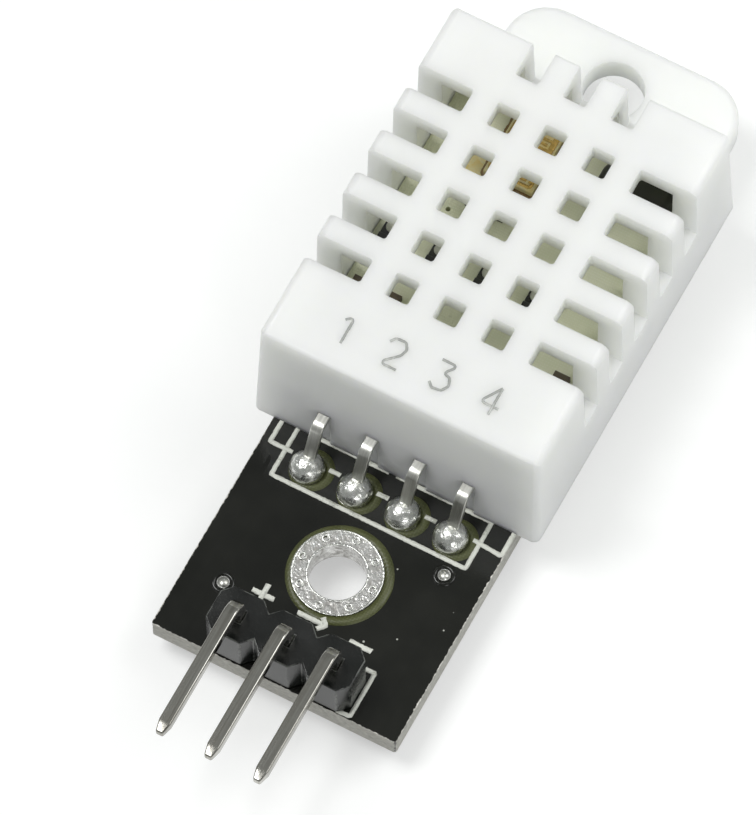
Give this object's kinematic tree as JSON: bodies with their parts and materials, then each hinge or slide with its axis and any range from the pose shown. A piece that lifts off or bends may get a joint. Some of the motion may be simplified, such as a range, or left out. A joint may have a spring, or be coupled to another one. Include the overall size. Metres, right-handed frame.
{
  "type": "temperature and humidity sensor module",
  "caption": "Vented white sensor housing with a fixing ear, soldered flat on a narrow black breakout board with a plated mounting hole and a right-angle pin header.",
  "frame": {"origin": "axis of the board's plated mounting hole, at the board's underside", "axes": "+X across the board, +Y from the pin header towards the ear, +Z out of the board's upper face"},
  "size_m": [0.015, 0.0428, 0.0102],
  "materials": {
    "white_plastic": "smooth moulded, faint satin",
    "black_plastic": "moulded, slightly glossy, scuffed",
    "black_laminate": "glossy solder mask over glass laminate",
    "inner_laminate": "pale coated glass laminate",
    "amber_film": "thin glossy polymer",
    "gold_plate": "plated",
    "black_epoxy": "moulded epoxy",
    "chip_resistor": "glazed film on ceramic with tinned ends",
    "chip_ceramic": "fired ceramic with tinned ends",
    "tinned_metal": "bright tin plate, lightly drawn",
    "solder": "bright solder with fine mottling"
  },
  "bodies": {
    "root": {"vented_housing": "white_plastic", "back_cover": "white_plastic", "sensor_board": "inner_laminate", "element_carrier": "amber_film", "humidity_element": "amber_film", "electrode_combs": "gold_plate", "thermistor": "black_epoxy", "controller_chip": "black_epoxy", "controller_leads": "tinned_metal", "inner_resistors": "chip_resistor", "bias_resistor": "chip_resistor", "inner_capacitors": "chip_ceramic", "sensor_pin_1": "tinned_metal", "sensor_pin_2": "tinned_metal", "sensor_pin_3": "tinned_metal", "sensor_pin_4": "tinned_metal", "inner_pin_solder": "solder", "breakout_board": "black_laminate", "hole_plating": "solder", "sensor_pads": "solder", "sensor_pin_solder": "solder", "board_vias": "solder", "header_base": "black_plastic", "header_pin_1": "tinned_metal", "header_pin_2": "tinned_metal", "header_pin_3": "tinned_metal", "header_pads": "solder", "header_solder": "solder", "chip_pads": "solder", "pull_up_resistor": "chip_resistor", "filter_capacitor": "chip_ceramic"}
  },
  "joints": []
}
